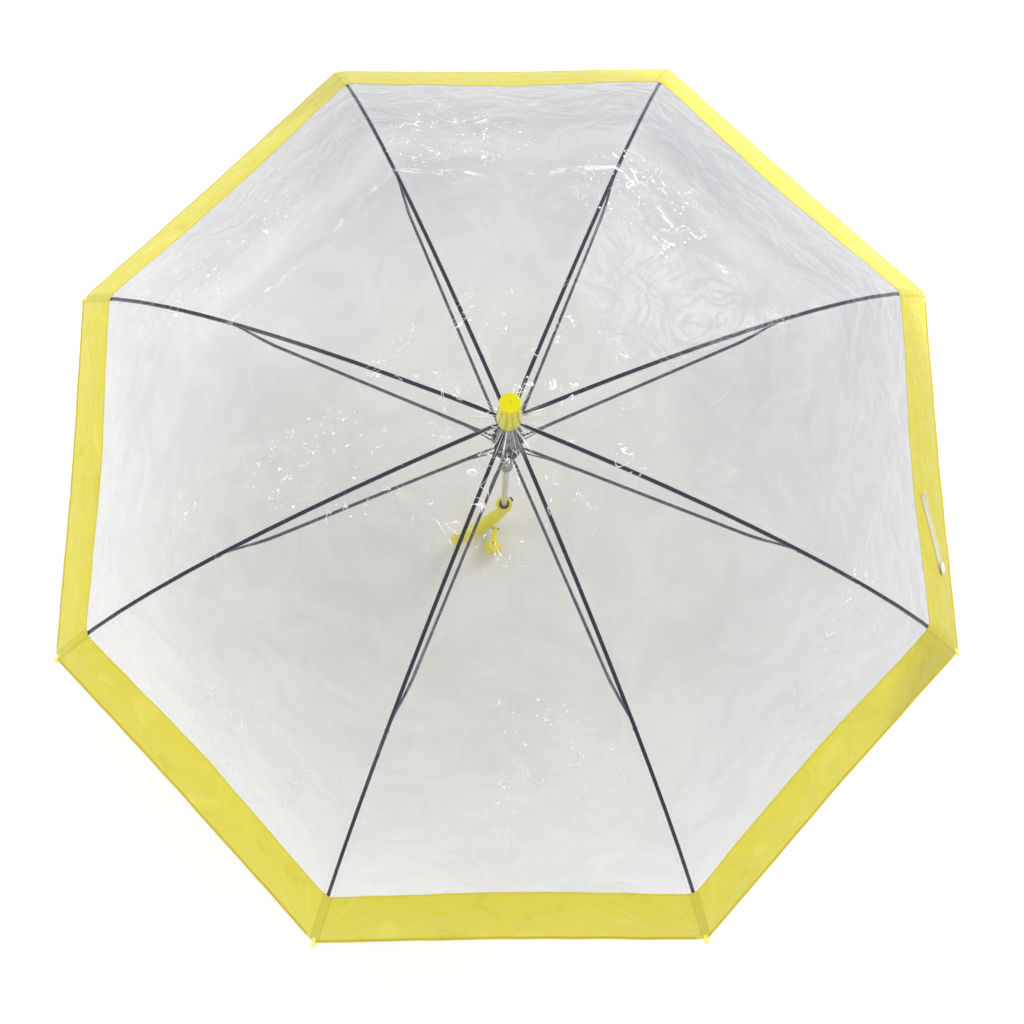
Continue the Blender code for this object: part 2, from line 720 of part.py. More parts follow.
def make_whistle(yellow, steel):
    reach, aside, z = eye_place()
    out = Vector((math.cos(HOOK_ANGLE), math.sin(HOOK_ANGLE), 0))
    middle = out * reach + Vector((-out.y, out.x, 0)) * aside
    hinge = pivot("whistle_pivot", WHISTLE_ANGLE, 0, 0, 0)
    hinge.location = (middle.x, middle.y, z)
    profile = [
        (0.0, -0.0034),
        (0.0026, -0.0030),
        (0.0031, 0.0),
        (0.0030, 0.008),
        (0.0036, 0.014),
        (0.0062, 0.019),
        (0.0108, 0.0235),
        (0.0126, 0.0285),
        (0.0122, 0.0335),
        (0.0096, 0.0372),
        (0.0086, 0.0380),
        (0.0070, 0.0372),
        (0.0, 0.0362),
    ]
    whistle = turned("whistle", profile, 16)
    whistle.data.transform(Matrix.Rotation(math.pi / 2, 4, "Y"))
    combine(whistle, rod_along_y("hole", 0, 0, 0.0014, 0.01, 12), "DIFFERENCE")
    window = box("window", (0.0205, -0.0025, 0.0060), (0.0245, 0.0025, 0.02))
    combine(whistle, window, "DIFFERENCE")
    dress(whistle, yellow)
    whistle.parent = hinge
    make_whistle_eye(middle, z, out, steel)


def make_whistle_eye(middle, z, out, steel):
    """A bent pin: a short leg from the side of the hook, then a pin through the whistle's stem, with a round head."""
    across = Matrix.Rotation(WHISTLE_ANGLE, 3, "Z") @ Vector((0, 1, 0))
    aside = Vector((-out.y, out.x, 0))
    half, wire, head = 0.0042, 0.0008, 0.0014
    near = -across * half
    leg = EYE_ASIDE - 0.0100 + near.dot(aside)
    path = rounded([near - aside * leg, near, across * half], 0.0010, 4)
    stations = [(p, wire) for p in path]
    stations += [(across * (half + reach), radius) for reach, radius in ((0, head), (0.0010, head), (0.0014, wire))]
    centre = middle + Vector((0, 0, z))
    rings = []
    for i, (p, radius) in enumerate(stations):
        before, after = stations[max(i - 1, 0)][0], stations[min(i + 1, len(stations) - 1)][0]
        along = (after - before).normalized()
        up = Vector((0, 0, 1))
        beside = along.cross(up)
        turns = [2 * math.pi * k / 8 for k in range(8)]
        rings.append([centre + p + (beside * math.cos(a) + up * math.sin(a)) * radius for a in turns])
    dress(lofted("whistle_eye", rings), steel)


def rounded(corners, radius, steps):
    """The corner points of a path, each inner one replaced by a short curve."""
    path = [corners[0]]
    for before, corner, after in zip(corners, corners[1:], corners[2:]):
        a = corner + (before - corner).normalized() * radius
        b = corner + (after - corner).normalized() * radius
        for i in range(steps + 1):
            t = i / steps
            path.append(a * (1 - t) ** 2 + corner * 2 * t * (1 - t) + b * t**2)
    path.append(corners[-1])
    return path


# ---------------------------------------------------------------- assembly


def build():
    clear_scene()
    yellow = material("yellow_plastic", (0.82, 0.72, 0.02), 0.25)
    clear = material("clear_film", (0.90, 0.92, 0.93), 0.08, alpha=0.25)
    white = material("white_plastic", (0.85, 0.86, 0.86), 0.35)
    black = material("black_paint", (0.02, 0.02, 0.022), 0.35, 0.3)
    zinc = material("zinc_steel", (0.32, 0.33, 0.34), 0.35, 0.9)
    bright = material("bright_steel", (0.60, 0.60, 0.60), 0.25, 1.0)
    paint = material("shaft_paint", (0.55, 0.53, 0.47), 0.40, 0.2)
    grey = material("grey_plastic", (0.28, 0.30, 0.32), 0.35)
    dark = material("dark_plastic", (0.09, 0.09, 0.09), 0.40)

    rib_pivots = [pivot(f"rib_pivot_{i + 1}", a, NOTCH_PIVOT_R, 0, NOTCH_Z) for i, a in enumerate(ANGLES)]
    stretcher_pivots = [
        pivot(f"stretcher_pivot_{i + 1}", a, CROWN_PIVOT_X, beside(a, STRETCHER_SIDE), CROWN_Z)
        for i, a in enumerate(ANGLES)
    ]
    link_z = CROWN_Z - SLEEVE_DROP
    link_pivots = [pivot(f"link_pivot_{i + 1}", a, LINK_PIVOT_X, 0, link_z) for i, a in enumerate(ANGLES)]

    end, along = make_ribs(black, rib_pivots)
    make_rib_tips(yellow, rib_pivots, end, along)
    make_canopy(clear, rib_pivots)
    make_stretchers(zinc, stretcher_pivots)
    make_links(zinc, link_pivots)
    make_strap(clear, white)

    make_shaft(paint)
    make_open_catch(bright)
    make_notch(grey)
    wire_ring("notch_wire", NOTCH_PIVOT_R, NOTCH_Z, bright)
    make_washer(clear)
    make_cap(yellow)

    make_crown(grey)
    wire_ring("crown_wire", math.hypot(CROWN_PIVOT_X, STRETCHER_SIDE), CROWN_Z, bright)
    make_sleeve(dark)
    wire_ring("sleeve_wire", LINK_PIVOT_X, link_z, bright)
    make_opening_spring(bright)

    make_handle(yellow)
    make_button(dark, bright)
    make_whistle(yellow, bright)


build()
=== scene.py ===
"""The look of a clear dome umbrella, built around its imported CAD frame. Metres, +Z up the shaft."""

import math

import bmesh
import bpy
from mathutils import Matrix, Vector, noise


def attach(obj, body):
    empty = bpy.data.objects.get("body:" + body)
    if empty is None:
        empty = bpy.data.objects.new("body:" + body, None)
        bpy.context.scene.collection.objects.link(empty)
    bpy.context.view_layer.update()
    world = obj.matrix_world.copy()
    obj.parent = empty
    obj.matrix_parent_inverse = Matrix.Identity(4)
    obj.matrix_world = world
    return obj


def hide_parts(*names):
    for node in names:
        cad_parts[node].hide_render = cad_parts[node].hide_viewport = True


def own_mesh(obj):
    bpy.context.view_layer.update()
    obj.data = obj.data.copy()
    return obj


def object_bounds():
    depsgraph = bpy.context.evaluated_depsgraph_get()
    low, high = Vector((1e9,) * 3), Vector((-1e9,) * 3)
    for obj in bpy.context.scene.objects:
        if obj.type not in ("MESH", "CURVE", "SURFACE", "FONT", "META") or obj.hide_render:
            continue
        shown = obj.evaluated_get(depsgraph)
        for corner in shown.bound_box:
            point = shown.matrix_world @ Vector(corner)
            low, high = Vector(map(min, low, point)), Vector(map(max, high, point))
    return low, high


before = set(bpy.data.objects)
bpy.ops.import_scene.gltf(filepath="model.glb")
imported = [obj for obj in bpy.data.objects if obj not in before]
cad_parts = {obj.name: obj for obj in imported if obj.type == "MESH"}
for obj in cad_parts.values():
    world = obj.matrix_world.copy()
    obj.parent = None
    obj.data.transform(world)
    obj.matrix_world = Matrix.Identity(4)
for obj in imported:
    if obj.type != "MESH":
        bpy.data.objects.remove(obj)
cad_low, cad_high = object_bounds()

# ---------------------------------------------------------------- sizes, in metres

# DOME holds the weights of the linear, square and fourth-power terms of the rib's curve.
# FILM_EDGE, BORDER_INNER and FILM_OUTER are shares of TIP_RADIUS.
RIBS = 8
HALF_GORE = math.pi / RIBS
ANGLES = [math.radians(22.5 + 360.0 / RIBS * i) for i in range(RIBS)]
TIP_RADIUS = 0.520
TIP_Z = 0.381
DOME = (0.030, 0.390, 0.178)
FILM = 0.00025
BORDER_LIFT = 0.00028
HEM_OVERLAP = 0.0008
FILM_OVER_RIB = 0.0019
OVER_RIB = 0.0026
FILM_HOLE_R = 0.0052
FILM_EDGE = 0.974
HEM_SAG = 0.001
BORDER_INNER = 0.841
FILM_OUTER = 0.849
BELLY = 0.0045
CROWN_Z = TIP_Z + 0.427 * TIP_RADIUS
CROWN_PIVOT_X = 0.0120
STRETCHER_SIDE = 0.0033
JOINT_R = 0.515 * TIP_RADIUS
LINK_PIVOT_X = 0.0098
LINK_Z = CROWN_Z - 0.052
LINK_REACH = 0.066

# ---------------------------------------------------------------- the canopy's surface


def dome_z(r):
    share = r / TIP_RADIUS
    a, b, c = DOME
    return TIP_Z + TIP_RADIUS * (a * (1 - share) + b * (1 - share**2) + c * (1 - share**4))


def dome_slope(r):
    share = r / TIP_RADIUS
    a, b, c = DOME
    return -(a + 2 * b * share + 4 * c * share**3)


def rib_point(r, offset=0.0):
    """(distance from the axis, height) on a rib's curve, moved out along its normal by offset."""
    slope = dome_slope(r)
    length = math.hypot(1.0, slope)
    return r - offset * slope / length, dome_z(r) + offset / length


def smooth(low, high, x):
    t = min(1.0, max(0.0, (x - low) / (high - low)))
    return t * t * (3 - 2 * t)


def wrinkle(r, share, p):
    """How far the film stands proud at a point, in metres. It depends on the place only, so panels meet."""
    reach = r / TIP_RADIUS
    turn = math.atan2(p.y, p.x)
    unevenly = noise.noise(Vector((3 * math.cos(turn), 3 * math.sin(turn), 4.0)))
    pucker = 0.5 + 0.5 * math.sin(26 * turn + 2.2 * unevenly)
    gathered = 0.0011 * pucker * smooth(0.004, 0.012, r) * (1 - smooth(0.012, 0.040, r))
    free = smooth(0.02, 0.30, share) * smooth(0.03, 0.14, reach)
    calm = 1 - 0.80 * smooth(0.74, 0.93, reach)
    slow = 0.0022 * noise.noise(Vector((p.x * 11, p.y * 11, 1.7)))
    fine = 0.0009 * noise.noise(Vector((p.x * 34, p.y * 34, 5.1)))
    ends = smooth(0.70, 0.95, reach)
    aside = abs((turn + HALF_GORE) % (2 * HALF_GORE) - HALF_GORE)
    radial = math.cos(46 * aside) * math.cos(9 * noise.noise(Vector((p.x * 5, p.y * 5, 9.3))))
    pulled = 0.0004 * radial * ends * smooth(0.05, 0.35, share) * (1 - 0.6 * share)
    return gathered + free * calm * (slow + fine) + pulled


def skin(angle, r, side, share, lift=0.0):
    """A point on the canopy beside the rib at this angle. share runs from the rib to the gore's middle."""
    x, z = rib_point(r, FILM_OVER_RIB + FILM / 2)
    x *= 1.0 - HEM_SAG * (r / TIP_RADIUS) ** 3 * (1 - (1 - share) ** 2)
    beside_rib = Vector((x, side * min(OVER_RIB, 0.5 * x * math.sin(HALF_GORE)), z))
    middle = Vector((x * math.cos(HALF_GORE) ** 2, side * x * math.cos(HALF_GORE) * math.sin(HALF_GORE), z))
    point = beside_rib.lerp(middle, share)
    slope = dome_slope(r)
    length = math.hypot(1.0, slope)
    lean = share * HALF_GORE
    outward = Vector((-slope / length * math.cos(lean), side * -slope / length * math.sin(lean), 1 / length))
    turn = Matrix.Rotation(angle, 3, "Z")
    around = turn @ point
    reach = r / TIP_RADIUS
    belly = BELLY * math.sin(math.pi * min(1.0, reach) ** 1.3) * math.sin(share * math.pi / 2) ** 2
    return turn @ (point + outward * (lift + wrinkle(r, share, around) - belly))


# ---------------------------------------------------------------- node materials


class Look:
    """Builds one material's nodes. A value given as a socket is linked; any other value is set."""

    def __init__(self, name):
        self.material = bpy.data.materials.new(name)
        self.material.use_nodes = True
        self.tree = self.material.node_tree
        self.tree.nodes.clear()
        self.out = self.tree.nodes.new("ShaderNodeOutputMaterial")

    def node(self, kind, settings=None, **sockets):
        made = self.tree.nodes.new("ShaderNode" + kind)
        for key, value in (settings or {}).items():
            setattr(made, key, value)
        for key, value in sockets.items():
            self.put(made.inputs[key.replace("_", " ")], value)
        return made

    def put(self, socket, value):
        if isinstance(value, bpy.types.NodeSocket):
            self.tree.links.new(value, socket)
        else:
            socket.default_value = value

    def math(self, operation, a, b=0.0, c=0.0, clamp=False):
        made = self.node("Math", {"operation": operation, "use_clamp": clamp})
        for socket, value in zip(made.inputs, (a, b, c)):
            self.put(socket, value)
        return made.outputs[0]

    def place(self):
        return self.node("TexCoord").outputs["Object"]

    def metric(self, name):
        """(tangential, radial) place on a canopy panel: metres in the map named strip, shares in gore."""
        parts = self.node("SeparateXYZ", Vector=self.node("UVMap", {"uv_map": name}).outputs[0])
        return parts.outputs["X"], parts.outputs["Y"]

    def noise(self, scale, detail=3.0, roughness=0.5, vector=None, distortion=0.0):
        made = self.node("TexNoise", Scale=scale, Detail=detail, Roughness=roughness, Distortion=distortion)
        self.put(made.inputs["Vector"], vector or self.place())
        return made.outputs["Fac"]

    def stretched(self, x, y, z):
        return self.node("Mapping", Vector=self.place(), Scale=(x, y, z)).outputs[0]

    def span(self, value, low, high, to_low=0.0, to_high=1.0):
        made = self.node("MapRange", {"interpolation_type": "SMOOTHSTEP"}, Value=value)
        for key, number in zip(("From Min", "From Max", "To Min", "To Max"), (low, high, to_low, to_high)):
            self.put(made.inputs[key], number)
        return made.outputs[0]

    def line(self, value, at, width):
        """1 on a line where value is at, falling to 0 at this half width."""
        away = self.math("ABSOLUTE", self.math("SUBTRACT", value, at))
        return self.span(away, 0.0, width, 1.0, 0.0)

    def mix(self, share, a, b):
        made = self.node("Mix", {"data_type": "RGBA"})
        for socket, value in ((made.inputs[0], share), (made.inputs[6], a), (made.inputs[7], b)):
            self.put(socket, (*value, 1.0) if isinstance(value, tuple) and len(value) == 3 else value)
        return made.outputs[2]

    def bump(self, height, distance, strength=1.0, normal=None):
        made = self.node("Bump", Height=height, Distance=distance, Strength=strength)
        if normal is not None:
            self.put(made.inputs["Normal"], normal)
        return made.outputs[0]

    def shade(self, colour, **sockets):
        made = self.node("BsdfPrincipled")
        self.put(made.inputs["Base Color"], (*colour, 1.0) if isinstance(colour, tuple) else colour)
        for key, value in sockets.items():
            self.put(made.inputs[key.replace("_", " ")], value)
        self.tree.links.new(made.outputs[0], self.out.inputs["Surface"])
        return self.material


def gloss_yellow(name, dark, light):
    look = Look(name)
    tone = look.mix(look.noise(38.0, 4.0), dark, light)
    dust = look.span(look.noise(310.0, 2.0), 0.60, 0.78)
    colour = look.mix(look.math("MULTIPLY", dust, 0.10), tone, (0.80, 0.76, 0.30))
    rough = look.span(look.noise(90.0, 5.0), 0.3, 0.7, 0.13, 0.24)
    flow = look.bump(look.noise(60.0, 2.0), 0.0003, 0.35)
    skin_bump = look.bump(look.noise(900.0, 3.0), 0.00004, 0.5, flow)
    return look.shade(
        colour, Roughness=rough, Normal=skin_bump, Specular_IOR_Level=0.20,
        Coat_Weight=0.05, Coat_Roughness=0.06,
        Subsurface_Weight=0.08, Subsurface_Radius=(0.004, 0.003, 0.0008),
    )


def moulded_grey():
    look = Look("grey_moulded_plastic")
    grain = look.noise(1500.0, 4.0, 0.6)
    tone = look.mix(look.noise(70.0, 3.0), (0.21, 0.21, 0.22), (0.31, 0.31, 0.32))
    # Painted highlight: sharp edges are painted light grey, the glint along the crown's facet edges.
    sharpness = look.node("NewGeometry").outputs["Pointiness"]
    edge = look.span(sharpness, 0.52, 0.60)
    colour = look.mix(look.math("MULTIPLY", edge, 0.55), tone, (0.72, 0.72, 0.73))
    rough = look.span(grain, 0.3, 0.7, 0.34, 0.50)
    return look.shade(colour, Roughness=rough, Normal=look.bump(grain, 0.00005, 0.6))


def painted_shaft():
    look = Look("painted_shaft")
    streak = look.noise(1.0, 4.0, 0.6, look.stretched(420, 420, 9))
    tone = look.mix(look.span(streak, 0.3, 0.7), (0.50, 0.47, 0.42), (0.62, 0.59, 0.54))
    rub = look.span(look.noise(1.0, 3.0, 0.5, look.stretched(120, 120, 30)), 0.66, 0.74)
    colour = look.mix(look.math("MULTIPLY", rub, 0.4), tone, (0.74, 0.73, 0.71))
    rough = look.span(streak, 0.2, 0.8, 0.24, 0.36)
    return look.shade(
        colour, Metallic=0.25, Roughness=rough, Normal=look.bump(streak, 0.00003, 0.5),
        Coat_Weight=0.35, Coat_Roughness=0.12,
    )


def bare_metal(name, dark, light, low, high, metallic=1.0):
    look = Look(name)
    brushed = look.noise(260.0, 5.0, 0.65, None, 0.3)
    spots = look.noise(1900.0, 2.0)
    colour = look.mix(look.span(brushed, 0.3, 0.72), dark, light)
    rough = look.span(spots, 0.3, 0.7, low, high)
    return look.shade(colour, Metallic=metallic, Roughness=rough, Normal=look.bump(brushed, 0.00004, 0.6))


def black_lacquer():
    look = Look("black_rib_lacquer")
    peel = look.noise(700.0, 3.0)
    tone = look.mix(look.noise(45.0, 3.0), (0.004, 0.004, 0.005), (0.012, 0.012, 0.014))
    rubbed = look.span(look.noise(240.0, 4.0, 0.6), 0.66, 0.76)
    colour = look.mix(look.math("MULTIPLY", rubbed, 0.25), tone, (0.08, 0.08, 0.09))
    rough = look.span(peel, 0.3, 0.7, 0.22, 0.34)
    return look.shade(colour, Roughness=rough, Normal=look.bump(peel, 0.00003, 0.6), Specular_IOR_Level=0.3)


def plain_plastic(name, dark, light, low, high, coat=0.0):
    look = Look(name)
    grain = look.noise(1100.0, 4.0, 0.6)
    colour = look.mix(look.noise(120.0, 3.0), dark, light)
    rough = look.span(grain, 0.3, 0.7, low, high)
    return look.shade(colour, Roughness=rough, Normal=look.bump(grain, 0.00003, 0.5), Coat_Weight=coat)


def clear_film():
    """Grey-tinted clear film, with painted white highlights on its creases, in patches and on the hub's
    puckers, and painted shade across it.
    """
    look = Look("clear_film")
    v, s = look.metric("gore")
    t = look.metric("strip")[0]
    beside = look.math("ABSOLUTE", v)
    parts = look.node("SeparateXYZ", Vector=look.place())
    x, y = parts.outputs["X"], parts.outputs["Y"]
    outline = look.node("VectorMath", {"operation": "NORMALIZE"})
    look.tree.links.new(look.node("CombineXYZ", X=x, Y=y, Z=0.0).outputs[0], outline.inputs[0])
    # Painted highlight: white radial streaks on the puckers round the hub.
    streak = look.noise(15.0, 3.0, 0.6, outline.outputs[0])
    near_hub = look.span(s, 0.035, 0.075, 1.0, 0.0)
    pucker = look.math("MULTIPLY", look.span(streak, 0.54, 0.62), near_hub)

    # Painted highlights: a white smear along a ring crease over the upper panels, and white lines on the
    # gores' middles and on slanting creases.
    warp = look.noise(9.0, 2.0, 0.5)
    ring_at = look.math("ADD", s, look.math("MULTIPLY", look.math("SUBTRACT", warp, 0.5), 0.030))
    brushed = look.span(look.noise(1.0, 5.0, 0.7, look.stretched(34, 34, 160), 1.6), 0.42, 0.66)
    upper = look.span(y, 0.02, 0.16)
    ring_highlight = look.math("MULTIPLY", look.line(ring_at, 0.505, 0.016), look.math("MULTIPLY", upper, brushed))
    ring_highlight = look.math("MULTIPLY", ring_highlight, look.span(beside, 0.98, 0.55))
    middle = look.math("MULTIPLY", look.line(beside, 1.0, 0.006), look.span(look.noise(7.0, 2.0), 0.46, 0.62))
    slant = look.line(look.math("ADD", beside, look.math("MULTIPLY", s, 0.9)), 1.12, 0.006)
    crossing = look.math("SUBTRACT", s, look.math("MULTIPLY", v, 0.22))
    slant = look.math("MAXIMUM", slant, look.line(crossing, 0.52, 0.0026))
    broken = look.span(look.noise(8.0, 2.0, 0.5, look.stretched(1, 1, 3)), 0.50, 0.62)
    slant = look.math("MULTIPLY", slant, broken)

    # Painted highlights: white squiggles, a web of glint lines and sparkles in patches, fading towards the
    # edge, and squiggles near the hub.
    patches = look.span(look.noise(5.6, 1.0, 0.4, look.stretched(1, 1, 0.4)), 0.53, 0.62)
    curls = look.math("SUBTRACT", look.noise(24.0, 2.0, 0.5, None, 2.6), 0.5)
    squiggle = look.span(look.math("ABSOLUTE", curls), 0.0, 0.016, 1.0, 0.0)
    squiggle = look.math("MULTIPLY", squiggle, look.span(look.noise(40.0, 1.0), 0.50, 0.60))
    edge = look.node("TexVoronoi", {"feature": "DISTANCE_TO_EDGE"}, Vector=look.place(), Scale=17.0)
    glint_web = look.span(edge.outputs["Distance"], 0.0, 0.010, 1.0, 0.0)
    glint_web = look.math("MULTIPLY", glint_web, look.span(look.noise(30.0, 1.0), 0.52, 0.60))
    spark = look.span(look.noise(210.0, 1.0), 0.70, 0.76)
    painted_glints = look.math("MAXIMUM", squiggle, look.math("MAXIMUM", look.math("MULTIPLY", glint_web, 0.30), spark))
    inside = look.span(s, 0.62, 0.80, 1.0, 0.25)
    painted_glints = look.math("MULTIPLY", painted_glints, look.math("MULTIPLY", patches, inside))
    hub_glints = look.math("MULTIPLY", squiggle, look.span(s, 0.16, 0.30, 1.0, 0.0))
    # Painted highlight: a pale line along each rib pocket's seam.
    pocket = look.line(look.math("ABSOLUTE", t), 0.0050, 0.0010)
    pocket = look.math("MULTIPLY", pocket, look.span(s, 0.06, 0.10))

    # All these white marks join into one painted highlight mask, which thickens the film and turns it white.
    painted_highlight = look.math("MAXIMUM", look.math("MULTIPLY", ring_highlight, 0.45), look.math("MULTIPLY", painted_glints, 0.75))
    painted_highlight = look.math("MAXIMUM", painted_highlight, look.math("MAXIMUM", look.math("MULTIPLY", pucker, 0.6), hub_glints))
    painted_highlight = look.math("MAXIMUM", painted_highlight, look.math("MULTIPLY", look.math("MAXIMUM", middle, slant), 0.16))
    painted_highlight = look.math("MAXIMUM", painted_highlight, look.math("MULTIPLY", pocket, 0.13), clamp=True)

    # The cover is partly the film's own grey tint and partly painted shade for the darker surroundings it
    # reflects. It is painted lighter towards the lower left and over a ring band in the upper panels, and
    # darker towards the upper right.
    cloud = look.span(look.noise(3.4, 2.0, 0.5), 0.32, 0.68, -0.025, 0.025)
    ripple = look.span(look.noise(1.0, 4.0, 0.6, look.stretched(13, 13, 30), 1.6), 0.3, 0.7, -0.016, 0.016)
    down = look.math("ADD", look.math("MULTIPLY", x, 0.60), look.math("MULTIPLY", y, 0.80))
    down = look.span(down, 0.02, -0.42)
    rising = look.math("ADD", y, look.math("MULTIPLY", x, 0.45))
    pale = look.math("MULTIPLY", look.math("MULTIPLY", down, look.span(s, 0.22, 0.85)), 0.150)
    band = look.math("MULTIPLY", look.line(ring_at, 0.585, 0.080), look.math("MULTIPLY", upper, 0.050))
    painted_shade = look.span(rising, -0.05, 0.46, 0.0, 0.125)
    painted_shade = look.math("ADD", painted_shade, look.span(s, 0.10, 0.85, -0.012, 0.008))
    haze_and_shade = look.math("ADD", look.math("ADD", cloud, ripple), look.math("SUBTRACT", painted_shade, pale))
    haze_and_shade = look.math("SUBTRACT", look.math("ADD", haze_and_shade, 0.218), band)
    cover = look.math("ADD", haze_and_shade, look.math("MULTIPLY", painted_highlight, 0.62), clamp=True)
    cover = look.math("MULTIPLY", cover, look.span(beside, 0.99985, 0.99998, 1.0, 0.0))

    wave = look.noise(1.0, 4.0, 0.55, look.stretched(17, 17, 17), 1.4)
    normal = look.bump(wave, 0.006, 0.9)
    normal = look.bump(painted_highlight, 0.0008, 0.8, normal)
    # The grey tint turns to painted white where the painted highlights are.
    tint = look.mix(look.math("MULTIPLY", painted_highlight, 2.2, clamp=True), (0.085, 0.088, 0.130), (0.97, 0.97, 0.98))
    return look.shade(tint, Alpha=cover, Roughness=0.16, Normal=normal, Specular_IOR_Level=0.28)


def yellow_film():
    """Yellow border film, a little sheer, with a narrow seam over each rib and a weld to the clear film.
    Painted shade and highlight lie on the folds by each seam, and painted shade on the right and top borders.
    """
    look = Look("yellow_border_film")
    v, s = look.metric("gore")
    t, r = look.metric("strip")
    aside = look.math("ABSOLUTE", t)
    seam = look.span(aside, 0.0030, 0.0038, 1.0, 0.0)
    stitch = look.line(aside, 0.0042, 0.0008)
    weld = look.line(s, BORDER_INNER + 0.0030, 0.0040)
    tone = look.mix(look.noise(7.0, 2.0), (0.69, 0.615, 0.040), (0.77, 0.695, 0.065))
    drawn = look.noise(1.0, 3.0, 0.5, look.stretched(22, 22, 8), 0.8)
    tone = look.mix(look.span(drawn, 0.58, 0.72, 0.0, 0.30), tone, (0.54, 0.47, 0.020))
    tone = look.mix(look.span(drawn, 0.42, 0.28, 0.0, 0.35), tone, (0.86, 0.80, 0.14))
    # Painted shade and painted highlight: the folds fanning out from each seam are painted darker on one side
    # and lighter on the other.
    from_edge = look.math("SUBTRACT", FILM_EDGE * TIP_RADIUS, r)
    fan = look.math("DIVIDE", aside, look.math("ADD", 0.012, from_edge))
    fan_place = look.node("CombineXYZ", X=look.math("MULTIPLY", fan, 5.0), Y=s, Z=0.0)
    folds = look.noise(1.0, 2.0, 0.4, fan_place.outputs[0])
    near = look.span(aside, 0.10, 0.02)
    faint = look.math("MULTIPLY", near, 0.35)
    tone = look.mix(look.math("MULTIPLY", look.span(folds, 0.56, 0.68), faint), tone, (0.50, 0.43, 0.015))
    tone = look.mix(look.math("MULTIPLY", look.span(folds, 0.44, 0.32), faint), tone, (0.90, 0.85, 0.22))
    # Painted shade: the right and top borders, turned away from the key lamp, are painted darker; the
    # upper-right border stays lit.
    spot = look.node("SeparateXYZ", Vector=look.place())
    east, north = spot.outputs["X"], spot.outputs["Y"]
    toward = look.math("MULTIPLY", look.math("ADD", east, north), 0.7071)
    beyond = look.span(look.math("MAXIMUM", east, north), 0.36, 0.42)
    painted_border_shade = look.math("MULTIPLY", look.span(toward, 0.45, 0.38), beyond)
    tone = look.mix(look.math("MULTIPLY", painted_border_shade, 0.70), tone, (0.50, 0.44, 0.030))
    colour = look.mix(look.math("MULTIPLY", seam, 0.45), tone, (0.58, 0.50, 0.025))
    colour = look.mix(look.math("MULTIPLY", stitch, 0.55), colour, (0.46, 0.38, 0.015))
    colour = look.mix(look.math("MULTIPLY", weld, 0.40), colour, (0.56, 0.49, 0.025))
    ripples = look.noise(1.0, 4.0, 0.55, look.stretched(26, 26, 26), 1.2)
    press = look.math("ADD", seam, look.math("MULTIPLY", weld, 0.3))
    press = look.math("ADD", press, look.math("MULTIPLY", folds, look.math("MULTIPLY", near, 2.0)))
    grain = look.math("MULTIPLY", look.noise(150.0, 3.0), 0.06)
    normal = look.bump(look.math("ADD", ripples, grain), 0.004, 0.8)
    normal = look.bump(press, 0.0006, 0.8, normal)
    cover = look.math("MULTIPLY", look.span(look.math("ABSOLUTE", v), 0.99985, 0.99998, 1.0, 0.0), 0.94)
    rough = look.span(look.noise(60.0, 3.0), 0.3, 0.7, 0.28, 0.40)
    return look.shade(colour, Alpha=cover, Roughness=rough, Normal=normal, Specular_IOR_Level=0.06)


def hem_film():
    look = Look("hem_film")
    ridge = look.noise(1.0, 3.0, 0.5, look.stretched(160, 160, 160))
    colour = look.mix(look.noise(26.0, 3.0), (0.55, 0.42, 0.008), (0.65, 0.52, 0.016))
    return look.shade(colour, Roughness=0.36, Normal=look.bump(ridge, 0.0004, 0.6), Specular_IOR_Level=0.10)


def clear_strip():
    look = Look("clear_vinyl_strip")
    cloud = look.noise(140.0, 3.0)
    edge_on = look.node("LayerWeight", Blend=0.4).outputs["Facing"]
    body = look.span(cloud, 0.3, 0.7, 0.10, 0.18)
    cover = look.math("ADD", look.math("MULTIPLY", edge_on, 0.35), body, clamp=True)
    tone = look.mix(cloud, (0.62, 0.64, 0.64), (0.74, 0.75, 0.75))
    return look.shade(tone, Alpha=cover, Roughness=0.10, Normal=look.bump(cloud, 0.0005, 0.7), Metallic=0.15)


# Painted light: the handle's yellow plastic is painted lighter than the cap's to offset the canopy's shade
# over the handle; the whistle and rib tips share it.
YELLOW_LIGHTENED_FOR_SHADE = gloss_yellow("yellow_gloss_plastic_painted_lighter", (0.88, 0.80, 0.010), (0.94, 0.86, 0.018))
CAP_YELLOW = gloss_yellow("yellow_cap_plastic", (0.66, 0.60, 0.004), (0.72, 0.66, 0.007))
GREY = moulded_grey()
SHAFT = painted_shaft()
STEEL = bare_metal("steel_wire", (0.42, 0.42, 0.43), (0.62, 0.62, 0.63), 0.20, 0.34)
ZINC = bare_metal("zinc_stretcher", (0.15, 0.15, 0.155), (0.36, 0.36, 0.37), 0.20, 0.36)
DARK_WIRE = bare_metal("dark_wire", (0.03, 0.03, 0.032), (0.08, 0.08, 0.085), 0.30, 0.42, 0.8)
BLACK = black_lacquer()
BUTTON = plain_plastic("dark_button_plastic", (0.020, 0.020, 0.022), (0.045, 0.045, 0.048), 0.30, 0.45)
DARK_GREY = plain_plastic("dark_grey_plastic", (0.060, 0.060, 0.064), (0.110, 0.110, 0.115), 0.30, 0.45, 0.2)
WHITE = plain_plastic("white_snap_plastic", (0.74, 0.74, 0.73), (0.84, 0.84, 0.83), 0.20, 0.32, 0.3)
CLEAR_HARD = clear_strip()
FILM_LOOK = clear_film()
BORDER_LOOK = yellow_film()
HEM_LOOK = hem_film()

# ---------------------------------------------------------------- mesh helpers


